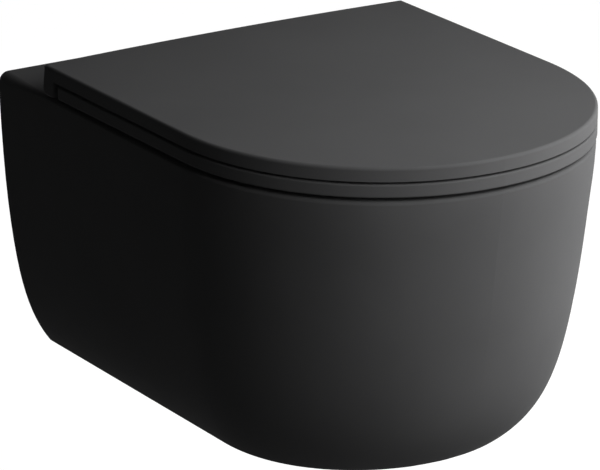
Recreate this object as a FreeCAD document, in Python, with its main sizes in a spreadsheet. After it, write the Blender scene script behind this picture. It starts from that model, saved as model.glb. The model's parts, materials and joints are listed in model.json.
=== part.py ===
# A compact wall hung toilet: a skirted ceramic pan with a soft-close seat and a wrap-over lid.
#
# Frame: the origin is midway between the two wall fixing bolts, on the wall plane.
# +Z is up, +Y runs into the wall and +X is to the right of someone who faces the toilet.

import FreeCAD
import Part
import math
import os
import Sketcher
from FreeCAD import Placement, Rotation, Vector

DRIVING_SIZES = {
    # ceramic pan, outside
    "bolt_to_rim": (80, "rim above the wall bolts"),
    "pan_height": (255, "rim to underside"),
    "half_width": (180, "half width of pan, seat and lid at the shoulders"),
    "shoulder_flare": (2.8, "how much wider the rim is at the shoulders than at the wall"),
    "rim_reach": (491, "wall to the nose of the rim"),
    "rim_straight": (304.5, "wall to where the rounded front starts, at the rim"),
    "foot_straight": (287, "wall to where the rounded front starts, at the underside"),
    "flank_lean": (28.6, "side tuck that grows with the square of the depth"),
    "flank_turn": (18.9, "side tuck of the lower edge, eighth power of the depth"),
    "nose_rake": (30.3, "front tuck in proportion to the depth"),
    "nose_lean": (5.9, "front tuck that grows with the square of the depth"),
    "nose_turn": (43, "front tuck of the lower edge, eighth power of the depth"),
    "front_fullness": (0.74, "weight of the rounded front, 0.707 is a true ellipse"),
    "rim_edge_radius": (3, "rounding of the rim along the bowl"),
    "deck_edge_radius": (9, "rounding of the deck's sides at the wall"),
    "foot_edge_radius": (10, "rounding of the lower edge"),
    # ceramic pan, inside
    "skirt_wall": (11, "thickness of the skirt"),
    "deck_thickness": (16, "thickness of the rim and deck"),
    "floor_thickness": (12, "thickness of the underside"),
    "back_thickness": (14, "thickness of the wall plate"),
    "bowl_wall": (10, "thickness of the bowl"),
    "rim_width": (68, "side of the rim to the bowl's mouth"),
    "mouth_rear": (158, "wall to the rear of the mouth"),
    "mouth_widest": (265, "wall to the widest place of the mouth"),
    "rim_width_front": (58, "nose of the rim to the bowl's mouth"),
    "mouth_edge_radius": (8, "rounding of the mouth"),
    "ledge_drop": (30, "rim to the water ledge"),
    "ledge_width": (11, "width of the water ledge"),
    "sump_half_width": (30, "half width of the sump floor"),
    "sump_rear": (196, "wall to the rear of the sump floor"),
    "sump_front": (266, "wall to the front of the sump floor"),
    "trap_bore": (50, "bore of the trapway"),
    "trap_wall": (9, "thickness of the trapway"),
    "trap_foot_turn": (38, "bend radius at the foot of the trap"),
    "trap_top_turn": (36, "bend radius over the weir"),
    "trap_rise_to_wall": (138, "wall to the rising leg"),
    "weir_below_bolts": (38, "centre of the trapway over the weir, below the bolts"),
    # connections at the wall
    "bolt_spacing": (180, "distance between the wall bolts"),
    "inlet_above_bolts": (35, "flush inlet above the bolts"),
    "inlet_bore": (55, "flush inlet"),
    "inlet_depth": (55, "how deep the flush pipe goes in"),
    "channel_bore": (44, "bore of the flush channel behind the inlet"),
    "outlet_below_bolts": (100, "waste outlet below the bolts"),
    "outlet_spigot": (102, "outside of the waste spigot"),
    "outlet_wall": (9, "thickness of the waste spigot"),
    "outlet_clearance": (15, "room for the connector round the spigot"),
    "outlet_setback": (3, "spigot end behind the wall plane"),
    "slot_width": (64, "width of the flush slot in the bowl"),
    "slot_height": (11, "height of the flush slot in the bowl"),
    # concealed wall fixing
    "boss_length": (62, "length of the fixing bosses inside"),
    "boss_wall": (8, "thickness of the fixing bosses"),
    "barrel_diameter": (25, "fixing barrel"),
    "barrel_length": (54, "fixing barrel"),
    "barrel_thread": (12, "thread of the wall bolt"),
    "sleeve_wall": (1.5, "plastic sleeve round the barrel"),
    "sleeve_hole": (10, "hole in the sleeve for the clamp screw"),
    "clamp_thread": (8, "clamp screw"),
    "clamp_head": (13, "head of the clamp screw"),
    "clamp_head_height": (8, "head of the clamp screw"),
    "clamp_key": (7, "hexagon socket of the clamp screw, across its corners"),
    "clamp_from_wall": (42, "wall to the clamp screws"),
    "access_hole": (15, "hole in the underside below each clamp screw"),
    # seat and lid
    "seat_gap": (3.5, "rim to seat"),
    "seat_thickness": (11, "seat ring"),
    "seat_top_radius": (1.5, "rounding of the seat's outer top edge"),
    "seat_bore_radius": (4.4, "rounding of the seat's inner top edge"),
    "seat_under_radius": (1.3, "rounding of the seat's lower edges"),
    "seat_corner_radius": (2.5, "rounding of the seat's rear corners"),
    "lid_gap": (2.2, "seat to lid"),
    "lid_thickness": (11.4, "lid at its edge"),
    "lid_crown": (2.5, "rise of the lid between its long edges, at its rear"),
    "lid_crown_middle": (2, "the same rise half way along the lid"),
    "lid_crown_nose": (0.1, "the same rise at the nose"),
    "lid_overhang": (2, "how far the lid's nose stands out past the rim"),
    "lid_rear": (78, "wall to the foot of the lid's flange"),
    "lid_top_radius": (2.5, "rounding of the lid's top edge"),
    "lid_corner_radius": (2.8, "rounding of the ends of the flange"),
    "lid_recess": (6, "depth of the hollow under the lid"),
    "lid_border": (14, "width of the solid border under the lid"),
    "flange_thickness": (21.5, "rear flange of the lid at its foot"),
    "flange_lean": (4, "how far the flange's rear face leans away from the wall at its top"),
    "flange_radius": (6.5, "rounding of the flange's foot"),
    "flange_gap": (1.8, "deck to the rear flange"),
    "seat_rear": (104, "wall to the rear of the seat ring"),
    "seat_width": (74, "width of the seat ring beside its opening"),
    "seat_hole_rear": (172, "wall to the rear of the seat opening"),
    "seat_hole_widest": (268, "wall to the widest place of the seat opening"),
    "seat_width_front": (73, "width of the seat ring at its nose"),
    "seat_groove": (4, "depth of the groove under the seat"),
    "seat_land": (13, "width of the land on each side of that groove"),
    "bumper_radius": (7, "rubber bumpers"),
    "bumper_from_side": (38, "side of the seat to the rear bumpers"),
    "bumper_rear": (205, "wall to the rear bumpers"),
    "bumper_front_x": (85, "front bumpers from the middle"),
    "bumper_from_nose": (78, "nose of the lid to the front bumpers"),
    "bumper_edge_radius": (0.9, "rounding of the bumpers"),
    # hinges
    "hinge_spacing": (155, "distance between the seat fixing holes"),
    "hinge_from_wall": (87.5, "wall to the hinge axis"),
    "hinge_above_deck": (11.3, "deck to the hinge axis"),
    "hinge_offset": (8, "hinge axis behind the seat fixing holes"),
    "post_head_radius": (8, "head of the hinge post"),
    "post_head_width": (16, "head of the hinge post"),
    "post_stem_radius": (6.5, "stem of the hinge post"),
    "post_foot_radius": (12.5, "foot of the hinge post"),
    "post_foot_thickness": (2, "foot of the hinge post"),
    "gasket_thickness": (1, "rubber gasket under the post"),
    "knuckle_radius": (8, "hinge knuckle of the seat"),
    "knuckle_length": (50, "hinge knuckle of the seat"),
    "hinge_play": (0.8, "free space round posts and knuckles"),
    "side_play": (0.6, "free space beside posts and knuckles"),
    "shaft_radius": (3.5, "hinge shaft"),
    "shaft_flat": (1, "depth of the flat on the driven end"),
    "running_fit": (0.06, "radial clearance of turning fits"),
    "seated_fit": (0.03, "radial clearance of seated fits"),
    "damper_radius": (6.2, "housing of the damper"),
    "damper_length": (46, "housing of the damper"),
    "rotor_radius": (5, "rotor of the damper"),
    "rotor_length": (30, "rotor of the damper"),
    "bush_radius": (5.5, "bearing bush"),
    "bush_length": (40, "bearing bush"),
    "set_screw_radius": (1.5, "small set screws"),
    "set_screw_recess": (0.3, "how deep the set screws lie under the surface"),
    "set_screw_inset": (6, "set screws from the closed end of the damper"),
    "thread_fit": (0.01, "radial clearance of the set screws in a blind tube"),
    # seat fixing through the deck
    "fixing_hole": (15, "seat fixing hole in the deck"),
    "stud_radius": (4, "threaded stud"),
    "stud_length": (44, "threaded stud"),
    "stud_in_post": (5, "how far the stud goes into the post"),
    "bush_bulge": (3, "how much the expanding bush swells under the deck"),
    "bush_lip": (1, "chamfer at the lower end of the expanding bush"),
    "cone_height": (12, "expanding cone"),
    "cone_grip": (4, "straight rim of the cone"),
    "fixing_clearance": (0.4, "free space round the cone and below the deck"),
    "gasket_hole": (9, "hole in the gasket"),
}


class Size(float):
    """A length that also knows the sheet formula it comes from."""

    def __new__(cls, value, text=None):
        size = float.__new__(cls, value)
        size.text = text if text is not None else repr(float(value))
        return size

    def _join(self, other, sign, value):
        other = other if isinstance(other, Size) else Size(other)
        return Size(value, f"({self.text} {sign} {other.text})")

    def __add__(self, other):
        return self._join(other, "+", float(self) + float(other))

    def __radd__(self, other):
        return Size(other) + self

    def __sub__(self, other):
        return self._join(other, "-", float(self) - float(other))

    def __rsub__(self, other):
        return Size(other) - self

    def __mul__(self, other):
        return self._join(other, "*", float(self) * float(other))

    def __rmul__(self, other):
        return self * other

    def __truediv__(self, other):
        return self._join(other, "/", float(self) / float(other))

    def __neg__(self):
        return Size(-float(self), f"(-1 * {self.text})")


doc = FreeCAD.newDocument("wall_hung_toilet")
sheet = doc.addObject("Spreadsheet::Sheet", "Sizes")
for row, (alias, (value, meaning)) in enumerate(DRIVING_SIZES.items(), start=1):
    sheet.set(f"A{row}", alias)
    sheet.set(f"B{row}", str(value))
    sheet.set(f"C{row}", meaning)
    sheet.setAlias(f"B{row}", alias)
doc.recompute()


def size(alias):
    return Size(sheet.get(alias), f"Sizes.{alias}")


# Heights and places that several pieces share.
OVERLAP = 1
TOUCH = 0.01
RIM = size("bolt_to_rim")
FOOT = RIM - size("pan_height")
MOUTH_HALF = size("half_width") - size("rim_width")
MOUTH_FRONT = size("rim_reach") - size("rim_width_front")
SEAT_BOTTOM = RIM + size("seat_gap")
SEAT_TOP = SEAT_BOTTOM + size("seat_thickness")
LID_BOTTOM = SEAT_TOP + size("lid_gap")
LID_EDGE_TOP = LID_BOTTOM + size("lid_thickness")
LID_REACH = size("rim_reach") + size("lid_overhang")
FLANGE_FOOT = RIM + size("flange_gap")
FLANGE_FRONT = size("lid_rear") + size("flange_thickness")
SEAT_HOLE_HALF = size("half_width") - size("seat_width")
SEAT_HOLE_FRONT = LID_REACH - size("seat_width_front")
AXIS_Y = -size("hinge_from_wall")
AXIS_Z = RIM + size("hinge_above_deck")
POST_X = size("hinge_spacing") / 2
POST_INNER = POST_X - size("post_head_width") / 2
KNUCKLE_OUTER = POST_INNER - size("side_play")
KNUCKLE_INNER = KNUCKLE_OUTER - size("knuckle_length")
NOTCH_INNER = KNUCKLE_INNER - size("side_play")
NOTCH_OUTER = POST_X + size("post_foot_radius") + size("side_play")
BOLT_X = size("bolt_spacing") / 2
BARREL_RADIUS = size("barrel_diameter") / 2
SLEEVE_RADIUS = BARREL_RADIUS + size("seated_fit") + size("sleeve_wall")
BOSS_BORE = SLEEVE_RADIUS + size("seated_fit")
CLAMP_Y = -size("clamp_from_wall")
FIXING_Y = AXIS_Y - size("hinge_offset")
LID_SCREW_X = -NOTCH_OUTER - size("damper_length") + size("set_screw_inset")
SEAT_SCREW_X = KNUCKLE_OUTER - size("damper_length") + size("set_screw_inset")

ALONG_X = Rotation(Vector(0, 1, 0), 90)
ALONG_Y = Rotation(Vector(1, 0, 0), -90)
UPWARDS = Rotation()
DOWNWARDS = Rotation(Vector(1, 0, 0), 180)


# ---------------------------------------------------------------- helpers

def bind(obj, prop, value):
    """Set a property from a sheet formula, or plainly when it isn't one."""
    if isinstance(value, Size):
        obj.setExpression(prop, value.text)
    else:
        setattr(obj, prop, value)


def place(obj, x, y, z, rotation=UPWARDS):
    obj.Placement = Placement(Vector(float(x), float(y), float(z)), rotation)
    for axis, value in zip("xyz", (x, y, z)):
        if isinstance(value, Size):
            obj.setExpression(f"Placement.Base.{axis}", value.text)


def rod(name, radius, length, x, y, z, rotation=UPWARDS):
    obj = doc.addObject("Part::Cylinder", name)
    bind(obj, "Radius", radius)
    bind(obj, "Height", length)
    place(obj, x, y, z, rotation)
    return obj


def cut(name, base, tool):
    obj = doc.addObject("Part::Cut", name)
    obj.Base = base
    obj.Tool = tool
    return obj


def fuse(name, shapes):
    obj = doc.addObject("Part::MultiFuse", name)
    obj.Shapes = shapes
    return obj


def mirrored(name, source):
    obj = doc.addObject("Part::Mirroring", name)
    obj.Source = source
    obj.Base = Vector(0, 0, 0)
    obj.Normal = Vector(1, 0, 0)
    return obj


def group(name, members):
    obj = doc.addObject("Part::Compound", name)
    obj.Links = members
    return obj


def pair(name, source):
    """Two equal pieces, the second one mirrored to the other side."""
    return group(name, [source, mirrored(f"{name}_mirror", source)])


def formed(name, shape):
    obj = doc.addObject("Part::Feature", name)
    obj.Shape = shape
    return obj


def origin_plane(body, role):
    return next(f for f in body.Origin.OriginFeatures if f.Role == role)


def sketch_on(body, name, role, offset=0):
    sketch = body.newObject("Sketcher::SketchObject", name)
    sketch.AttachmentSupport = [(origin_plane(body, role), "")]
    sketch.MapMode = "FlatFace"
    sketch.AttachmentOffset = Placement(Vector(0, 0, float(offset)), UPWARDS)
    if isinstance(offset, Size):
        sketch.setExpression("AttachmentOffset.Base.z", offset.text)
    return sketch


def datum(sketch, constraint, value):
    index = sketch.addConstraint(constraint)
    if isinstance(value, Size):
        sketch.setExpression(f"Constraints[{index}]", value.text)


def round_sketch(body, name, role, radius, up=0, offset=0):
    """A circle at a height above the sketch's origin."""
    sketch = sketch_on(body, name, role, offset)
    centre = Vector(0, float(up), 0)
    sketch.addGeometry(Part.Circle(centre, Vector(0, 0, 1), float(radius)), False)
    sketch.addConstraint(Sketcher.Constraint("PointOnObject", 0, 3, -2))
    if float(up):
        datum(sketch, Sketcher.Constraint("DistanceY", -1, 1, 0, 3, float(up)), up)
    else:
        sketch.addConstraint(Sketcher.Constraint("PointOnObject", 0, 3, -1))
    datum(sketch, Sketcher.Constraint("Radius", 0, float(radius)), radius)
    return sketch


def outline_sketch(body, name, role, corners, offset=0):
    """A closed outline with straight sides; each corner is held by its two distances."""
    sketch = sketch_on(body, name, role, offset)
    ends = corners[1:] + corners[:1]
    for (x1, y1), (x2, y2) in zip(corners, ends):
        start = Vector(float(x1), float(y1), 0)
        end = Vector(float(x2), float(y2), 0)
        sketch.addGeometry(Part.LineSegment(start, end), False)
    for side in range(len(corners)):
        following = (side + 1) % len(corners)
        sketch.addConstraint(Sketcher.Constraint("Coincident", side, 2, following, 1))
    for side, (x, y) in enumerate(corners):
        for value, kind, axis in ((x, "DistanceX", -2), (y, "DistanceY", -1)):
            if float(value):
                datum(sketch, Sketcher.Constraint(kind, -1, 1, side, 1, float(value)), value)
            else:
                sketch.addConstraint(Sketcher.Constraint("PointOnObject", side, 1, axis))
    return sketch


def turned(name, corners):
    """A turned piece: radius and height pairs round the vertical axis."""
    body = doc.addObject("PartDesign::Body", name)
    sketch = outline_sketch(body, f"{name}_profile", "XZ_Plane", corners)
    turn = body.newObject("PartDesign::Revolution", f"{name}_turn")
    turn.Profile = sketch
    turn.ReferenceAxis = (sketch, ["V_Axis"])
    turn.Angle = 360
    body.Tip = turn
    return body


def pad(body, name, sketch, length, both_ways=False):
    feature = body.newObject("PartDesign::Pad", name)
    feature.Profile = sketch
    bind(feature, "Length", length)
    if both_ways:
        feature.SideType = "Symmetric"
    body.Tip = feature
    return feature


def pocket(body, name, sketch, length=None, both_ways=False, reverse=False):
    """Cut a sketch out of the body; without a length it goes right through."""
    before = body.Shape.Volume
    feature = body.newObject("PartDesign::Pocket", name)
    feature.Profile = sketch
    if length is None:
        feature.Type = "ThroughAll"
    else:
        bind(feature, "Length", length)
    if both_ways:
        feature.SideType = "Symmetric"
    feature.Reversed = reverse
    body.Tip = feature
    doc.recompute()
    if body.Shape.Volume >= before - TOUCH:
        raise ValueError(f"{name} cuts nothing")
    return feature


# ---------------------------------------------------------------- outlines

def quarter(start, corner, end, fullness):
    """A quarter of a rounded outline, tangent to both legs of its corner."""
    curve = Part.BezierCurve()
    curve.setPoles([start, corner, end])
    curve.setWeight(2, float(fullness))
    return curve.toShape()


def plan_wire(z, rear_half, side_half, rear, straight, reach):
    """Outline seen from above: straight rear, two long sides and a rounded front."""
    fullness = size("front_fullness")
    rear_left = Vector(-rear_half, -rear, z)
    rear_right = Vector(rear_half, -rear, z)
    left = Vector(-side_half, -straight, z)
    right = Vector(side_half, -straight, z)
    nose = Vector(0, -reach, z)
    return Part.Wire([
        Part.LineSegment(rear_left, left).toShape(),
        quarter(left, Vector(-side_half, -reach, z), nose, fullness),
        quarter(nose, Vector(side_half, -reach, z), right, fullness),
        Part.LineSegment(right, rear_right).toShape(),
        Part.LineSegment(rear_right, rear_left).toShape(),
    ])


def egg_wire(z, half, rear, widest, front):
    """Closed egg outline of the bowl or of the seat opening."""
    fullness = size("front_fullness")
    left = Vector(-half, -widest, z)
    right = Vector(half, -widest, z)
    back = Vector(0, -rear, z)
    nose = Vector(0, -front, z)
    return Part.Wire([
        quarter(back, Vector(-half, -rear, z), left, fullness),
        quarter(left, Vector(-half, -front, z), nose, fullness),
        quarter(nose, Vector(half, -front, z), right, fullness),
        quarter(right, Vector(half, -rear, z), back, fullness),
    ])


def upright(wire, height):
    """A prism from a flat outline, upwards."""
    return Part.Face(wire).extrude(Vector(0, 0, height))


def block(x_low, x_high, y_low, y_high, z_low, z_high):
    corner = Vector(x_low, y_low, z_low)
    return Part.makeBox(x_high - x_low, y_high - y_low, z_high - z_low, corner)


def bar_y(radius, y_low, y_high, x, z):
    return Part.makeCylinder(radius, y_high - y_low, Vector(x, y_low, z), Vector(0, 1, 0))


def bar_x(radius, x_low, x_high, y, z):
    return Part.makeCylinder(radius, x_high - x_low, Vector(x_low, y, z), Vector(1, 0, 0))


def bar_z(radius, z_low, z_high, x, y):
    return Part.makeCylinder(radius, z_high - z_low, Vector(x, y, z_low))


def edges_at_height(shape, z, beyond=0):
    """Edges in a level plane that reach further than the given distance from the wall."""
    found = []
    for edge in shape.Edges:
        box = edge.BoundBox
        level = abs(box.ZMin - z) < TOUCH and abs(box.ZMax - z) < TOUCH
        if level and box.YMin < -beyond - TOUCH:
            found.append(edge)
    return found


def upright_edges(shape, y):
    """The level-to-level edges at the two rear corners."""
    found = []
    for edge in shape.Edges:
        box = edge.BoundBox
        if box.XLength < TOUCH and box.YLength < TOUCH and abs(box.YMin - y) < TOUCH:
            found.append(edge)
    return found


# ---------------------------------------------------------------- ceramic pan

SECTION_DEPTHS = (0, 0.2, 0.4, 0.6, 0.75, 0.87, 0.95, 1)
BOWL_DEPTHS = (0, 0.25, 0.5, 0.75, 1)
BOWL_SWELL = 1.25


def skirt_wire(z, inset=0, rear=0):
    """Outline of the pan at a height: the tuck of its sides and nose grows downwards."""
    depth = (RIM - z) / size("pan_height")
    side_tuck = size("flank_lean") * depth**2 + size("flank_turn") * depth**8 + inset
    nose_tuck = (
        size("nose_rake") * depth
        + size("nose_lean") * depth**2
        + size("nose_turn") * depth**8
        + inset
    )
    rear_half = size("half_width") - size("shoulder_flare") - side_tuck
    side_half = rear_half + size("shoulder_flare") * (1 - depth)
    straight = size("rim_straight") + (size("foot_straight") - size("rim_straight")) * depth
    return plan_wire(z, rear_half, side_half, rear, straight, size("rim_reach") - nose_tuck)


def skirt_loft(z_low, z_high, inset=0, rear=0):
    wires = []
    for share in SECTION_DEPTHS:
        wires.append(skirt_wire(z_high + (z_low - z_high) * share, inset, rear))
    return Part.makeLoft(wires, True, False)


def bowl_solid(grow=0):
    """The bowl below its water ledge; grown outwards it is the outside of the bowl."""
    top = RIM - size("ledge_drop")
    bottom = FOOT + size("floor_thickness")
    sump_widest = (size("sump_rear") + size("sump_front")) / 2
    wires = []
    for share in BOWL_DEPTHS:
        swell = share**BOWL_SWELL
        mouth = MOUTH_HALF - size("ledge_width")
        half = mouth + (size("sump_half_width") - mouth) * swell
        rear = size("mouth_rear") + size("ledge_width")
        rear = rear + (size("sump_rear") - rear) * share
        front = MOUTH_FRONT - size("ledge_width")
        front = front + (size("sump_front") - front) * swell
        widest = size("mouth_widest") + (sump_widest - size("mouth_widest")) * share
        z = top + (bottom - top) * share
        wires.append(egg_wire(z, half + grow, rear - grow, widest, front + grow))
    return Part.makeLoft(wires, True, False)


def mouth_solid(z_low, z_high, grow=0):
    rear = size("mouth_rear") - grow
    wire = egg_wire(z_low, MOUTH_HALF + grow, rear, size("mouth_widest"), MOUTH_FRONT + grow)
    return upright(wire, z_high - z_low)


def trap_solid(radius):
    """The trapway: back from the sump, up, over the weir and down to the outlet."""
    foot_turn = size("trap_foot_turn")
    top_turn = size("trap_top_turn")
    foot_z = FOOT + size("floor_thickness") + size("trap_bore") / 2
    weir_z = -size("weir_below_bolts")
    rise_y = -size("trap_rise_to_wall")
    fall_y = rise_y + top_turn * 2
    diagonal = math.sqrt(0.5)
    start = Vector(0, -(size("sump_rear") + size("sump_front")) / 2, foot_z)
    turn = Vector(0, rise_y - foot_turn, foot_z)
    half_turned = Vector(
        0, rise_y - foot_turn * (1 - diagonal), foot_z + foot_turn * (1 - diagonal)
    )
    rising = Vector(0, rise_y, foot_z + foot_turn)
    risen = Vector(0, rise_y, weir_z - top_turn)
    over = Vector(0, rise_y + top_turn, weir_z)
    falling = Vector(0, fall_y, weir_z - top_turn)
    fallen = Vector(0, fall_y, -size("outlet_below_bolts"))
    path = Part.Wire([
        Part.LineSegment(start, turn).toShape(),
        Part.Arc(turn, half_turned, rising).toShape(),
        Part.LineSegment(rising, risen).toShape(),
        Part.Arc(risen, over, falling).toShape(),
        Part.LineSegment(falling, fallen).toShape(),
    ])
    section = Part.Wire([Part.makeCircle(radius, start, Vector(0, 1, 0))])
    return path.makePipeShell([section], True, False)


def flush_channel(grow=0):
    """From the round inlet to the flat slot at the rear of the bowl's mouth."""
    inlet_y = -size("inlet_depth") + OVERLAP
    slot_y = -size("mouth_rear") - size("ledge_width")
    slot_z = RIM - size("ledge_drop") + size("slot_height") / 2 + OVERLAP
    round_end = size("channel_bore") / 2 + grow
    half_width = size("slot_width") / 2 + grow
    half_height = size("slot_height") / 2 + grow
    inlet_centre = Vector(0, inlet_y, size("inlet_above_bolts"))
    inlet = Part.Wire([Part.makeCircle(round_end, inlet_centre, Vector(0, 1, 0))])
    slot_curve = Part.Ellipse(
        Vector(half_width, slot_y, slot_z),
        Vector(0, slot_y, slot_z + half_height),
        Vector(0, slot_y, slot_z),
    )
    return Part.makeLoft([inlet, Part.Wire([slot_curve.toShape()])], True, True)


def skirt():
    """The solid outer form; its deck is rounder at the wall than along the bowl."""
    split = size("lid_rear")
    half = size("half_width") + OVERLAP
    reach = size("rim_reach") + OVERLAP
    whole = skirt_loft(FOOT, RIM, 0, -OVERLAP).common(block(-half, half, -reach, 0, FOOT, RIM))
    whole = whole.makeFillet(size("foot_edge_radius"), edges_at_height(whole, FOOT))
    front = whole.common(block(-half, half, -reach, -split, FOOT, RIM))
    front = front.makeFillet(size("rim_edge_radius"), edges_at_height(front, RIM, split))
    rear = whole.common(block(-half, half, -split, 0, FOOT, RIM))
    for side in (-1, 1):
        edge = next(
            edge for edge in edges_at_height(rear, RIM)
            if edge.BoundBox.YLength > TOUCH and edge.CenterOfMass.x * side > 0
        )
        radii = [size("deck_edge_radius"), size("rim_edge_radius")]
        if edge.Vertexes[0].Y < edge.Vertexes[-1].Y:
            radii.reverse()
        rear = rear.makeFillet(*radii, [edge])
    return front.fuse(rear).removeSplitter()


def on_mouth(edge):
    box = edge.BoundBox
    return max(box.XMax, -box.XMin) < MOUTH_HALF + OVERLAP and box.YMax < -size("mouth_rear") + OVERLAP


def ceramic_pan():
    hollow = skirt_loft(
        FOOT + size("floor_thickness"),
        RIM - size("deck_thickness"),
        size("skirt_wall"),
        size("back_thickness"),
    )
    bowl_top = RIM - size("ledge_drop")
    trap_radius = size("trap_bore") / 2
    outlet_z = -size("outlet_below_bolts")
    falling_leg_y = -size("trap_rise_to_wall") + size("trap_top_turn") * 2
    outlet_start = falling_leg_y - trap_radius - size("trap_wall") / 2
    spigot_radius = size("outlet_spigot") / 2
    spigot_bore = spigot_radius - size("outlet_wall")
    recess_radius = spigot_radius + size("outlet_clearance")
    recess_end = size("back_thickness") - size("boss_length")
    inlet_radius = size("inlet_bore") / 2
    inlet_end = -size("inlet_depth")
    inlet_z = size("inlet_above_bolts")
    boss_radius = BOSS_BORE + size("boss_wall")
    boss_end = -size("boss_length")
    clamp_radius = size("clamp_thread") / 2 + OVERLAP
    access_radius = size("access_hole") / 2
    floor_top = FOOT + size("floor_thickness")

    walls = [
        bowl_solid(size("bowl_wall")),
        mouth_solid(bowl_top - size("bowl_wall"), RIM - size("deck_thickness") / 2, size("bowl_wall")),
        trap_solid(trap_radius + size("trap_wall")),
        flush_channel(size("trap_wall")),
        bar_y(recess_radius + size("outlet_wall"), recess_end - size("outlet_wall"), -OVERLAP, 0, outlet_z),
        bar_y(inlet_radius + size("trap_wall"), inlet_end - size("trap_wall"), -OVERLAP, 0, inlet_z),
    ]
    hollows = [
        bowl_solid(),
        mouth_solid(bowl_top, RIM + OVERLAP),
        trap_solid(trap_radius),
        flush_channel(),
        bar_y(spigot_bore, outlet_start, OVERLAP, 0, outlet_z),
        bar_y(inlet_radius, inlet_end, OVERLAP, 0, inlet_z),
    ]
    for side in (-1, 1):
        bolt_x = BOLT_X * side
        post_x = POST_X * side
        walls.append(bar_y(boss_radius, boss_end, -OVERLAP, bolt_x, 0))
        hollows.append(bar_y(BOSS_BORE, boss_end - OVERLAP, OVERLAP, bolt_x, 0))
        hollows.append(bar_z(clamp_radius, -boss_radius - OVERLAP, 0, bolt_x, CLAMP_Y))
        hollows.append(bar_z(access_radius, FOOT - OVERLAP, floor_top + OVERLAP, bolt_x, CLAMP_Y))
        deck_low = RIM - size("deck_thickness") - OVERLAP
        hollows.append(bar_z(size("fixing_hole") / 2, deck_low, RIM + OVERLAP, post_x, FIXING_Y))

    pan = skirt().cut(hollow).fuse(walls)
    pan = pan.cut(bar_y(recess_radius, recess_end, OVERLAP, 0, outlet_z))
    spigot_start = outlet_start - size("outlet_wall")
    pan = pan.fuse(bar_y(spigot_radius, spigot_start, -size("outlet_setback"), 0, outlet_z))
    pan = pan.cut(hollows).removeSplitter()
    return pan.makeFillet(size("mouth_edge_radius"), [e for e in edges_at_height(pan, RIM) if on_mouth(e)])


# ---------------------------------------------------------------- lid and seat

def crown_wire(y, rise):
    half = size("half_width") + size("lid_thickness")
    left = Vector(-half, y, LID_EDGE_TOP)
    right = Vector(half, y, LID_EDGE_TOP)
    low_left = Vector(-half, y, FOOT)
    low_right = Vector(half, y, FOOT)
    return Part.Wire([
        Part.Arc(left, Vector(0, y, LID_EDGE_TOP + rise), right).toShape(),
        Part.LineSegment(right, low_right).toShape(),
        Part.LineSegment(low_right, low_left).toShape(),
        Part.LineSegment(low_left, left).toShape(),
    ])


def crown():
    """Everything under the crowned top of the lid."""
    rear = -size("lid_rear")
    wires = [
        crown_wire(rear + OVERLAP, size("lid_crown")),
        crown_wire((rear - LID_REACH) / 2, size("lid_crown_middle")),
        crown_wire(-LID_REACH - OVERLAP, size("lid_crown_nose")),
    ]
    return Part.makeLoft(wires, True, False)


def lid_outline(z, rear, inset=0):
    half = size("half_width") - inset
    return plan_wire(z, half, half, rear, size("rim_straight"), LID_REACH - inset)


def side_slab(top):
    """Side view of the lid with its flange, as wide as the lid."""
    half = size("half_width") + OVERLAP
    nose = -LID_REACH - OVERLAP
    rear = -size("lid_rear")
    lean = size("flange_lean") * (top - FLANGE_FOOT) / (LID_EDGE_TOP - FLANGE_FOOT)
    corners = [
        Vector(-half, nose, LID_BOTTOM),
        Vector(-half, -FLANGE_FRONT, LID_BOTTOM),
        Vector(-half, -FLANGE_FRONT, FLANGE_FOOT),
        Vector(-half, rear, FLANGE_FOOT),
        Vector(-half, rear - lean, top),
        Vector(-half, nose, top),
    ]
    slab = Part.Face(Part.makePolygon(corners + corners[:1])).extrude(Vector(half * 2, 0, 0))
    foot = [edge for edge in edges_at_height(slab, FLANGE_FOOT) if edge.BoundBox.XLength > TOUCH]
    return slab.makeFillet(size("flange_radius"), foot)


def flange_ends(shape):
    """The two long edges between the sides and the flange's rear face."""
    found = []
    for edge in shape.Edges:
        box = edge.BoundBox
        at_rear = box.YMin > -size("lid_rear") - size("flange_lean") * 2
        if at_rear and box.XLength < TOUCH and box.ZLength > size("flange_radius"):
            found.append(edge)
    return found


def hinge_notch(side):
    """Room under the lid for one knuckle and its post, for the whole swing of the lid."""
    x_low, x_high = sorted((NOTCH_INNER * side, NOTCH_OUTER * side))
    free_radius = size("knuckle_radius") + size("hinge_play")
    reach = size("flange_thickness") * 2
    front = block(x_low, x_high, AXIS_Y - reach, AXIS_Y, 0, LID_BOTTOM)
    rear = block(x_low, x_high, AXIS_Y, AXIS_Y + reach, 0, AXIS_Z + free_radius)
    return front.fuse([rear, bar_x(free_radius, x_low, x_high, AXIS_Y, AXIS_Z)])


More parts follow.
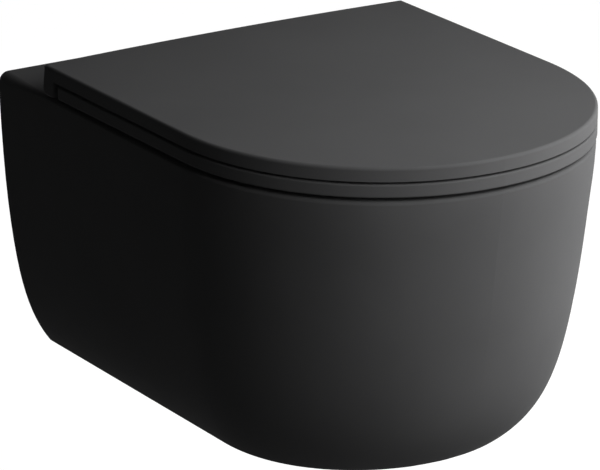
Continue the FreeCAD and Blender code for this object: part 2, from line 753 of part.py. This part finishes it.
def lid():
    top = LID_EDGE_TOP + size("lid_crown") * 2
    blank = upright(lid_outline(FLANGE_FOOT, size("lid_rear")), top - FLANGE_FOOT)
    blank = blank.common(side_slab(top))
    blank = blank.makeFillet(size("lid_corner_radius"), flange_ends(blank)).common(crown())
    top_edges = [edge for edge in blank.Edges if edge.BoundBox.ZMin > LID_EDGE_TOP - OVERLAP]
    blank = blank.makeFillet(size("lid_top_radius"), top_edges)

    recess_rear = FLANGE_FRONT + size("lid_border")
    recess = upright(lid_outline(LID_BOTTOM, recess_rear, size("lid_border")), size("lid_recess"))
    recess = recess.makeFillet(size("lid_border") / 2, upright_edges(recess, -recess_rear))
    housing_bore = size("damper_radius") + size("seated_fit")
    bush_bore = size("bush_radius") + size("seated_fit")
    housing_end = -NOTCH_OUTER - size("damper_length")
    bush_end = NOTCH_OUTER + size("bush_length")
    screw_radius = size("set_screw_radius") + size("seated_fit")
    return blank.cut([
        recess,
        hinge_notch(-1),
        hinge_notch(1),
        bar_x(housing_bore, housing_end, -NOTCH_OUTER + OVERLAP, AXIS_Y, AXIS_Z),
        bar_x(bush_bore, NOTCH_OUTER - OVERLAP, bush_end, AXIS_Y, AXIS_Z),
        bar_y(screw_radius, AXIS_Y, AXIS_Y + size("flange_thickness"), LID_SCREW_X, AXIS_Z),
    ])


def seat_hole(z, grow=0):
    rear = size("seat_hole_rear") - grow
    return egg_wire(z, SEAT_HOLE_HALF + grow, rear, size("seat_hole_widest"), SEAT_HOLE_FRONT + grow)


def on_seat_hole(edge):
    box = edge.BoundBox
    return max(box.XMax, -box.XMin) < SEAT_HOLE_HALF + OVERLAP


def seat_ring():
    rear = size("seat_rear")
    thickness = size("seat_thickness")
    land = size("seat_land")
    ring = upright(lid_outline(SEAT_BOTTOM, rear), thickness)
    ring = ring.makeFillet(size("seat_corner_radius"), upright_edges(ring, -rear))
    ring = ring.cut(upright(seat_hole(SEAT_BOTTOM - OVERLAP), thickness + OVERLAP * 2))
    roundings = (
        (SEAT_TOP, True, size("seat_bore_radius")),
        (SEAT_TOP, False, size("seat_top_radius")),
        (SEAT_BOTTOM, True, size("seat_under_radius")),
        (SEAT_BOTTOM, False, size("seat_under_radius")),
    )
    for z, inner, radius in roundings:
        chosen = [edge for edge in edges_at_height(ring, z) if on_seat_hole(edge) == inner]
        ring = ring.makeFillet(radius, chosen)

    groove = upright(lid_outline(SEAT_BOTTOM, rear + land, land), size("seat_groove"))
    groove = groove.cut(upright(seat_hole(SEAT_BOTTOM, land), size("seat_groove")))
    ring = ring.cut(groove)

    knuckles = []
    for side in (-1, 1):
        x_low, x_high = sorted((KNUCKLE_INNER * side, KNUCKLE_OUTER * side))
        web_low = SEAT_BOTTOM + OVERLAP
        web_high = SEAT_TOP - OVERLAP
        knuckles.append(bar_x(size("knuckle_radius"), x_low, x_high, AXIS_Y, AXIS_Z))
        knuckles.append(block(x_low, x_high, -rear - land / 2, AXIS_Y, web_low, web_high))
    housing_bore = size("damper_radius") + size("seated_fit")
    housing_end = KNUCKLE_OUTER - size("damper_length")
    bush_bore = size("bush_radius") + size("seated_fit")
    bush_end = -KNUCKLE_OUTER + size("bush_length")
    screw_radius = size("set_screw_radius") + size("seated_fit")
    bores = [
        bar_x(housing_bore, housing_end, KNUCKLE_OUTER + OVERLAP, AXIS_Y, AXIS_Z),
        bar_x(bush_bore, -KNUCKLE_OUTER - OVERLAP, bush_end, AXIS_Y, AXIS_Z),
        bar_z(screw_radius, AXIS_Z - size("knuckle_radius") * 2, AXIS_Z, SEAT_SCREW_X, AXIS_Y),
    ]
    return ring.fuse(knuckles).cut(bores).removeSplitter()


def bumpers(z_low, z_high):
    """Four rubber bumpers; they stand in the hollow above them."""
    places = (
        (size("half_width") - size("bumper_from_side"), size("bumper_rear")),
        (size("bumper_front_x"), LID_REACH - size("bumper_from_nose")),
    )
    pads = []
    for x, y in places:
        for side in (-1, 1):
            pillar = bar_z(size("bumper_radius"), z_low, z_high, x * side, -y)
            lower_edge = edges_at_height(pillar, z_low)
            pads.append(pillar.makeFillet(size("bumper_edge_radius"), lower_edge))
    return Part.makeCompound(pads)


# ---------------------------------------------------------------- hinges

def hinge_post(name, x):
    """Foot over the fixing hole, stem, and a head on the hinge axis behind it."""
    axis_up = size("hinge_above_deck") - size("gasket_thickness")
    body = doc.addObject("PartDesign::Body", name)
    place(body, x, FIXING_Y, RIM + size("gasket_thickness"))
    foot = round_sketch(body, f"{name}_foot_sketch", "XY_Plane", size("post_foot_radius"))
    pad(body, f"{name}_foot", foot, size("post_foot_thickness"))
    stem = round_sketch(body, f"{name}_stem_sketch", "XY_Plane", size("post_stem_radius"))
    pad(body, f"{name}_stem", stem, axis_up)
    head = axis_sketch(body, f"{name}_head_sketch", size("post_head_radius"), axis_up)
    pad(body, f"{name}_head", head, size("post_head_width"), both_ways=True)
    doc.recompute()
    bore_radius = size("shaft_radius") + size("seated_fit")
    bore = axis_sketch(body, f"{name}_bore_sketch", bore_radius, axis_up)
    pocket(body, f"{name}_bore", bore, size("post_head_width") + OVERLAP * 2, both_ways=True)
    thread = round_sketch(body, f"{name}_thread_sketch", "XY_Plane", size("stud_radius"))
    pocket(body, f"{name}_thread", thread, size("stud_in_post") + size("hinge_play"), reverse=True)
    screw = round_sketch(
        body, f"{name}_screw_sketch", "XZ_Plane",
        size("set_screw_radius") + size("seated_fit"), axis_up, -size("hinge_offset"),
    )
    pocket(body, f"{name}_screw_hole", screw, size("post_head_radius") + OVERLAP)
    return body


def axis_sketch(body, name, radius, up):
    """A circle round the hinge axis, on the plane across it."""
    sketch = sketch_on(body, name, "YZ_Plane")
    offset = size("hinge_offset")
    centre = Vector(float(offset), float(up), 0)
    sketch.addGeometry(Part.Circle(centre, Vector(0, 0, 1), float(radius)), False)
    datum(sketch, Sketcher.Constraint("DistanceX", -1, 1, 0, 3, float(offset)), offset)
    datum(sketch, Sketcher.Constraint("DistanceY", -1, 1, 0, 3, float(up)), up)
    datum(sketch, Sketcher.Constraint("Radius", 0, float(radius)), radius)
    return sketch


def hinge_shaft(name, x, driven_length, plain_length):
    """A shaft through the post; the flat drives the rotor of the damper."""
    radius = size("shaft_radius")
    body = doc.addObject("PartDesign::Body", name)
    place(body, x, AXIS_Y, AXIS_Z)
    section = round_sketch(body, f"{name}_section", "YZ_Plane", radius, 0, -driven_length)
    pad(body, f"{name}_rod", section, driven_length + plain_length)
    doc.recompute()
    wide = radius + OVERLAP
    low = radius - size("shaft_flat")
    corners = [(-wide, low), (wide, low), (wide, low + radius), (-wide, low + radius)]
    flat = outline_sketch(body, f"{name}_flat_sketch", "YZ_Plane", corners, -driven_length)
    pocket(body, f"{name}_flat", flat, size("rotor_length"), reverse=True)
    return body


def damper_housing(name, x_open, x_closed, screw_rotation, screw_x):
    """A blind tube; the open end faces the post."""
    length = size("damper_length")
    depth = size("rotor_length") + size("side_play")
    x_low = min(x_open, x_closed)
    outside = rod(f"{name}_outside", size("damper_radius"), length, x_low, AXIS_Y, AXIS_Z, ALONG_X)
    bore_x = x_open if x_open < x_closed else x_open - depth
    bore = rod(
        f"{name}_bore", size("rotor_radius") + size("running_fit"), depth, bore_x, AXIS_Y, AXIS_Z, ALONG_X
    )
    hole = rod(
        f"{name}_hole", size("set_screw_radius"), size("damper_radius") * 2,
        screw_x, AXIS_Y, AXIS_Z, screw_rotation,
    )
    return cut(name, outside, fuse(f"{name}_openings", [bore, hole]))


def damper_rotor(name, x_low):
    """The rotor turns in the housing and is driven by the flat of the shaft."""
    radius = size("shaft_radius") + size("seated_fit")
    length = size("rotor_length")
    outside = rod(f"{name}_outside", size("rotor_radius"), length, x_low, AXIS_Y, AXIS_Z, ALONG_X)
    bore = rod(f"{name}_round", radius, length, x_low, AXIS_Y, AXIS_Z, ALONG_X)
    key = doc.addObject("Part::Box", f"{name}_key")
    bind(key, "Length", length)
    bind(key, "Width", radius * 2)
    bind(key, "Height", radius * 2 - size("shaft_flat"))
    place(key, x_low, AXIS_Y - radius, AXIS_Z - radius)
    shaft_room = doc.addObject("Part::Common", f"{name}_shaft_room")
    shaft_room.Base = bore
    shaft_room.Tool = key
    return cut(name, outside, shaft_room)


def bearing_bush(name, x_low):
    length = size("bush_length")
    bore_radius = size("shaft_radius") + size("running_fit")
    outside = rod(f"{name}_outside", size("bush_radius"), length, x_low, AXIS_Y, AXIS_Z, ALONG_X)
    return cut(name, outside, rod(f"{name}_bore", bore_radius, length, x_low, AXIS_Y, AXIS_Z, ALONG_X))


# ---------------------------------------------------------------- fixings

def expansion_bush():
    """Rubber bush through the deck, swollen under it and opened by the cone."""
    hole = size("fixing_hole") / 2
    bore = size("stud_radius") + size("seated_fit")
    bulge = hole + size("bush_bulge")
    below = size("cone_height")
    top = below + size("deck_thickness") - size("post_foot_thickness")
    fit = hole - size("seated_fit")
    body = turned("expansion_bush_right", [
        (bore + size("bush_bulge"), Size(0)),
        (bulge - size("bush_lip"), Size(0)),
        (bulge, below / 2),
        (fit, below - size("fixing_clearance")),
        (fit, top),
        (bore, top),
        (bore, below),
    ])
    place(body, POST_X, FIXING_Y, RIM - size("deck_thickness") - below)
    return body


def cone_nut():
    bore = size("stud_radius") + size("seated_fit")
    rim = bore + size("bush_bulge")
    grip = size("cone_grip")
    gap = size("fixing_clearance")
    body = turned("cone_nut_right", [
        (bore, Size(0)),
        (rim, Size(0)),
        (rim, grip),
        (rim - gap, grip),
        (bore + gap, size("cone_height")),
        (bore, size("cone_height")),
    ])
    place(body, POST_X, FIXING_Y, RIM - size("deck_thickness") - size("cone_height") - grip - gap)
    return body


def clamp_screw():
    """Socket head screw that clamps the barrel from below."""
    radius = size("clamp_thread") / 2
    head_height = size("clamp_head_height")
    under_boss = -(BOSS_BORE + size("boss_wall"))
    head_z = under_boss - head_height - size("fixing_clearance")
    tip_z = size("clamp_thread") / 2 - BARREL_RADIUS
    shank = rod("clamp_shank", radius, tip_z - head_z, BOLT_X, CLAMP_Y, head_z)
    head = rod("clamp_head", size("clamp_head") / 2, head_height, BOLT_X, CLAMP_Y, head_z)
    socket = doc.addObject("Part::Prism", "clamp_socket")
    socket.Polygon = 6
    bind(socket, "Circumradius", size("clamp_key") / 2)
    bind(socket, "Height", size("clamp_key") / 2)
    place(socket, BOLT_X, CLAMP_Y, head_z)
    return cut("clamp_screw_right", fuse("clamp_screw_blank", [shank, head]), socket)


def shaft_set_screw():
    length = size("post_head_radius") - size("shaft_radius") - size("set_screw_recess")
    start = AXIS_Y + size("shaft_radius")
    return rod("shaft_screw_right", size("set_screw_radius"), length, POST_X, start, AXIS_Z, ALONG_Y)


def lid_damper_screw():
    radius = size("set_screw_radius") - size("thread_fit")
    start = AXIS_Y + size("rotor_radius") / 2
    end = -size("lid_rear") - size("flange_lean") / 2 - size("set_screw_recess")
    return rod("lid_damper_screw", radius, end - start, LID_SCREW_X, start, AXIS_Z, ALONG_Y)


def seat_damper_screw():
    radius = size("set_screw_radius") - size("thread_fit")
    start = AXIS_Z - size("knuckle_radius") + size("set_screw_recess")
    end = AXIS_Z - size("rotor_radius") / 2
    return rod("seat_damper_screw", radius, end - start, SEAT_SCREW_X, AXIS_Y, start)


def gasket():
    thickness = size("gasket_thickness")
    blank = rod("gasket_blank", size("post_foot_radius"), thickness, POST_X, FIXING_Y, RIM)
    hole = rod("gasket_opening", size("gasket_hole") / 2, thickness, POST_X, FIXING_Y, RIM)
    return cut("gasket_right", blank, hole)


def fixing_stud():
    bottom = RIM + size("gasket_thickness") + size("stud_in_post") - size("stud_length")
    return rod("stud_right", size("stud_radius"), size("stud_length"), POST_X, FIXING_Y, bottom)


def wall_barrel():
    """Steel barrel on the wall bolt, with a seat for the tip of the clamp screw."""
    length = size("barrel_length")
    blank = rod("barrel_blank", BARREL_RADIUS, length, BOLT_X, -length, 0, ALONG_Y)
    bore = rod("barrel_bore", size("barrel_thread") / 2, length, BOLT_X, -length, 0, ALONG_Y)
    seat_radius = size("clamp_thread") / 2
    seat = rod("clamp_seat", seat_radius, seat_radius, BOLT_X, CLAMP_Y, -BARREL_RADIUS)
    return cut("barrel_right", blank, fuse("barrel_openings", [bore, seat]))


def barrel_sleeve():
    length = size("barrel_length")
    bore_radius = BARREL_RADIUS + size("seated_fit")
    blank = rod("sleeve_blank", SLEEVE_RADIUS, length, BOLT_X, -length, 0, ALONG_Y)
    bore = rod("sleeve_bore", bore_radius, length, BOLT_X, -length, 0, ALONG_Y)
    hole = rod("sleeve_opening", size("sleeve_hole") / 2, SLEEVE_RADIUS, BOLT_X, CLAMP_Y, -SLEEVE_RADIUS)
    return cut("sleeve_right", blank, fuse("sleeve_openings", [bore, hole]))


# ---------------------------------------------------------------- all pieces

TO_KNUCKLE = size("post_head_width") / 2 + size("side_play")
TO_LID = NOTCH_OUTER - POST_X
ROTOR = size("rotor_length")
DAMPER = size("damper_length")
BUSH = size("bush_length")

pieces = [
    formed("ceramic_pan", ceramic_pan()),
    formed("lid", lid()),
    formed("seat_ring", seat_ring()),
    formed("lid_bumpers", bumpers(SEAT_TOP, LID_BOTTOM + size("lid_recess"))),
    formed("seat_bumpers", bumpers(RIM, SEAT_BOTTOM + size("seat_groove"))),
    hinge_post("hinge_post_left", -POST_X),
    hinge_post("hinge_post_right", POST_X),
    hinge_shaft("hinge_shaft_left", -POST_X, TO_LID + ROTOR, TO_KNUCKLE + BUSH),
    hinge_shaft("hinge_shaft_right", POST_X, TO_KNUCKLE + ROTOR, TO_LID + BUSH),
    damper_housing("lid_damper_housing", -NOTCH_OUTER, -NOTCH_OUTER - DAMPER, ALONG_Y, LID_SCREW_X),
    damper_rotor("lid_damper_rotor", -NOTCH_OUTER - ROTOR),
    damper_housing("seat_damper_housing", KNUCKLE_OUTER, KNUCKLE_OUTER - DAMPER, DOWNWARDS, SEAT_SCREW_X),
    damper_rotor("seat_damper_rotor", KNUCKLE_OUTER - ROTOR),
    bearing_bush("seat_bush", -KNUCKLE_OUTER),
    bearing_bush("lid_bush", NOTCH_OUTER),
    pair("shaft_set_screws", shaft_set_screw()),
    lid_damper_screw(),
    seat_damper_screw(),
    pair("post_gaskets", gasket()),
    pair("fixing_studs", fixing_stud()),
    pair("expansion_bushes", expansion_bush()),
    pair("cone_nuts", cone_nut()),
    pair("wall_barrels", wall_barrel()),
    pair("barrel_sleeves", barrel_sleeve()),
    pair("clamp_screws", clamp_screw()),
]

doc.recompute()
for obj in doc.Objects:
    if "Invalid" in obj.State or "Error" in obj.State:
        raise ValueError(f"{obj.Label} did not compute: {obj.State}")
for piece in pieces:
    if piece.Shape.isNull() or not piece.Shape.isValid():
        raise ValueError(f"{piece.Label} has no valid shape")

os.makedirs("parts", exist_ok=True)
for piece in pieces:
    piece.Shape.exportStep(f"parts/{piece.Label}.step")
    print(piece.Label, len(piece.Shape.Solids), "solids,", round(piece.Shape.Volume / 1000, 2), "cm3")
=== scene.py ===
import json
import math

import bpy
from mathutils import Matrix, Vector


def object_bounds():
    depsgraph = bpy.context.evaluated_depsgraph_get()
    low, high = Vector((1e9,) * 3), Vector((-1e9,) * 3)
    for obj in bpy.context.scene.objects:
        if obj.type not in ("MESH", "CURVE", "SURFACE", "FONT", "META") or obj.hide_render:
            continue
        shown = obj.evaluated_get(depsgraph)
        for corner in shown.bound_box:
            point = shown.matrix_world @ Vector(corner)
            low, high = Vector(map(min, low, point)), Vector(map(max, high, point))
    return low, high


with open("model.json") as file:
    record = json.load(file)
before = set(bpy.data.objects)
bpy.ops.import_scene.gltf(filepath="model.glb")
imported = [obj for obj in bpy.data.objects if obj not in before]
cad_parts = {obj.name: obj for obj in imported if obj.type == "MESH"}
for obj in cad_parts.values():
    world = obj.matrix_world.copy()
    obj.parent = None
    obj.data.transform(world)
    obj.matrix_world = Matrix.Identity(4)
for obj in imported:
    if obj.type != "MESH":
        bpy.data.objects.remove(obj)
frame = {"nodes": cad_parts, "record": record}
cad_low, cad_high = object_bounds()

# Camera, in metres in the object's frame
CAMERA_PLACE = Vector((-1.9092, -3.1593, 1.1764))
CAMERA_LOOK = Vector((0.51205, 0.79434, -0.32685))
CAMERA_REACH = 100.0
LENS_MM = 264.9
SENSOR_MM = 36.0

# Room round the object
FLOOR_Z = -0.32
FLOOR_HALF_SIDE = 12.0
FLOOR_COLOUR = (0.10, 0.10, 0.10, 1.0)
FLOOR_ROUGHNESS = 0.9
FLOOR_GLOW = 0.95
SKY_GLOW = 1.0
SKY_LIGHT = 0.01
WHITE = (1.0, 1.0, 1.0, 1.0)

# Square lamps that face the object's middle. Azimuth 0 is in front of it and 90 on its right.
# Each has azimuth and elevation in degrees, distance and side in metres, and power in watts.
LAMPS = {
    "front": (12, 30, 1.0, 0.8, 7.9),
    "above": (40, 50, 0.8, 0.6, 3.4),
    "low_right": (55, 5, 1.0, 0.8, 6.8),
    "side_right": (74, 10, 0.8, 0.5, 6.0),
    "back": (180, 0, 1.5, 0.5, 4.0),
}

# Every material has a mottled colour from dark to light, a grainy roughness from smooth to rough,
# and a fine relief. mottle, grain and relief are scales of noise, depth is the relief's in metres,
# and even holds what is the same all over the surface.
NOISE_LOW = 0.3
NOISE_HIGH = 0.7
NOISE_DETAIL = 3.0
RUBBER = {
    "mottle": 60.0,
    "grain": 300.0,
    "smooth": 0.62,
    "rough": 0.78,
    "relief": 700.0,
    "depth": 0.00003,
    "even": {"Specular IOR Level": 0.3},
}
METAL = {
    "mottle": 80.0,
    "grain": 250.0,
    "relief": 1200.0,
    "depth": 0.000008,
    "even": {"Metallic": 1.0},
}
PLASTIC = {
    "mottle": 40.0,
    "grain": 350.0,
    "smooth": 0.35,
    "rough": 0.48,
    "relief": 1100.0,
    "depth": 0.000012,
    "even": {"Specular IOR Level": 0.4},
}
MATERIALS = {
    "black_ceramic": {
        "dark": (0.066, 0.066, 0.067),
        "light": (0.074, 0.074, 0.075),
        "mottle": 9.0,
        "grain": 420.0,
        "smooth": 0.90,
        "rough": 1.00,
        "relief": 900.0,
        "relief_detail": 2.0,
        "depth": 0.00002,
        "even": {"Specular IOR Level": 0.03},
    },
    "black_seat_plastic": {
        "dark": (0.068, 0.068, 0.069),
        "light": (0.075, 0.075, 0.076),
        "mottle": 7.0,
        "grain": 600.0,
        "smooth": 0.88,
        "rough": 0.98,
        "relief": 1500.0,
        "relief_detail": 2.0,
        "depth": 0.00001,
        "even": {"Specular IOR Level": 0.03},
    },
    "bumper_rubber": {**RUBBER, "dark": (0.045, 0.045, 0.047), "light": (0.060, 0.060, 0.062)},
    "gasket_rubber": {**RUBBER, "dark": (0.020, 0.020, 0.021), "light": (0.030, 0.030, 0.031)},
    "hinge_chrome": {
        **METAL,
        "dark": (0.40, 0.41, 0.43),
        "light": (0.48, 0.49, 0.51),
        "smooth": 0.14,
        "rough": 0.24,
    },
    "steel": {
        **METAL,
        "dark": (0.28, 0.28, 0.28),
        "light": (0.38, 0.38, 0.37),
        "smooth": 0.28,
        "rough": 0.42,
    },
    "brass": {
        **METAL,
        "dark": (0.48, 0.33, 0.12),
        "light": (0.60, 0.43, 0.18),
        "smooth": 0.25,
        "rough": 0.40,
    },
    "damper_plastic": {**PLASTIC, "dark": (0.030, 0.032, 0.036), "light": (0.045, 0.047, 0.052)},
    "bush_plastic": {**PLASTIC, "dark": (0.36, 0.36, 0.34), "light": (0.44, 0.44, 0.42)},
}


def add(tree, kind, **inputs):
    """A new node. Each input, named with _ for a space, is a plain value or another node's output."""
    node = tree.nodes.new(kind)
    for name, value in inputs.items():
        socket = node.inputs[name.replace("_", " ")]
        if isinstance(value, bpy.types.NodeSocket):
            tree.links.new(value, socket)
        else:
            socket.default_value = value
    return node


def material(
    name, dark, light, mottle, grain, smooth, rough, relief, depth, even, relief_detail=NOISE_DETAIL
):
    made = bpy.data.materials.new(name)
    made.use_nodes = True
    tree = made.node_tree
    surface = tree.nodes["Principled BSDF"].inputs
    place = add(tree, "ShaderNodeTexCoord").outputs["Object"]

    def noise(scale, detail=NOISE_DETAIL):
        node = add(tree, "ShaderNodeTexNoise", Vector=place, Scale=scale, Detail=detail)
        return node.outputs["Fac"]

    height = noise(relief, relief_detail)
    bump = add(tree, "ShaderNodeBump", Height=height, Distance=depth, Strength=1.0)
    tree.links.new(bump.outputs["Normal"], surface["Normal"])

    ramp = add(tree, "ShaderNodeValToRGB", Fac=noise(mottle))
    for stop, position, tone in zip(
        ramp.color_ramp.elements, (NOISE_LOW, NOISE_HIGH), (dark, light), strict=True
    ):
        stop.position = position
        stop.color = (*tone, 1.0)
    tree.links.new(ramp.outputs["Color"], surface["Base Color"])

    roughness = add(
        tree,
        "ShaderNodeMapRange",
        Value=noise(grain),
        From_Min=NOISE_LOW,
        From_Max=NOISE_HIGH,
        To_Min=smooth,
        To_Max=rough,
    )
    tree.links.new(roughness.outputs["Result"], surface["Roughness"])

    for socket, value in even.items():
        surface[socket].default_value = value
    return made


materials = {name: material(name, **row) for name, row in MATERIALS.items()}
slots = {part["node"]: part["material_slot"] for part in frame["record"]["subparts"]}
for name, node in frame["nodes"].items():
    node.data.materials.clear()
    node.data.materials.append(materials[slots[name]])


def white_to_the_eye(tree, strength, light, glow):
    """The glow shows to the camera, in mirrors and through glass. All else gets only the light."""
    path = add(tree, "ShaderNodeLightPath")
    seen = path.outputs["Is Camera Ray"]
    for ray in ("Is Glossy Ray", "Is Transmission Ray"):
        either = tree.nodes.new("ShaderNodeMath")
        either.operation = "MAXIMUM"
        tree.links.new(seen, either.inputs[0])
        tree.links.new(path.outputs[ray], either.inputs[1])
        seen = either.outputs["Value"]
    level = add(tree, "ShaderNodeMapRange", Value=seen, To_Min=light, To_Max=glow)
    tree.links.new(level.outputs["Result"], strength)


world = bpy.data.worlds.new("studio")
world.use_nodes = True
bpy.context.scene.world = world
sky = world.node_tree.nodes["Background"].inputs
sky["Color"].default_value = WHITE
white_to_the_eye(world.node_tree, sky["Strength"], light=SKY_LIGHT, glow=SKY_GLOW)


def show(name, data):
    """A new object in the scene."""
    made = bpy.data.objects.new(name, data)
    bpy.context.scene.collection.objects.link(made)
    return made


def softbox(name, azimuth, elevation, distance, side, power):
    turn = math.radians(azimuth)
    rise = math.radians(elevation)
    outward = Vector(
        (math.sin(turn) * math.cos(rise), -math.cos(turn) * math.cos(rise), math.sin(rise))
    )
    data = bpy.data.lights.new(name, "AREA")
    data.size = side
    data.energy = power
    lamp = show(name, data)
    lamp.location = (cad_low + cad_high) / 2 + outward * distance
    lamp.rotation_mode = "QUATERNION"
    lamp.rotation_quaternion = outward.to_track_quat("Z", "Y")
    lamp.visible_camera = False


for name, row in LAMPS.items():
    softbox(name, *row)

paint = bpy.data.materials.new("floor_paint")
paint.use_nodes = True
coat = paint.node_tree.nodes["Principled BSDF"].inputs
coat["Base Color"].default_value = FLOOR_COLOUR
coat["Roughness"].default_value = FLOOR_ROUGHNESS
coat["Emission Color"].default_value = WHITE
white_to_the_eye(paint.node_tree, coat["Emission Strength"], light=0.0, glow=FLOOR_GLOW)

plane = bpy.data.meshes.new("floor")
corners = [
    (x * FLOOR_HALF_SIDE, y * FLOOR_HALF_SIDE, FLOOR_Z)
    for x, y in ((-1, -1), (1, -1), (1, 1), (-1, 1))
]
plane.from_pydata(corners, [], [(0, 1, 2, 3)])
plane.materials.append(paint)
floor = show("floor", plane)

lens = bpy.data.cameras.new("camera")
lens.lens = LENS_MM
lens.sensor_width = SENSOR_MM
lens.clip_end = CAMERA_REACH
camera = show("camera", lens)
camera.location = CAMERA_PLACE
camera.rotation_mode = "QUATERNION"
camera.rotation_quaternion = CAMERA_LOOK.to_track_quat("-Z", "Y")
bpy.context.scene.camera = camera
bpy.context.scene.view_settings.view_transform = "Standard"
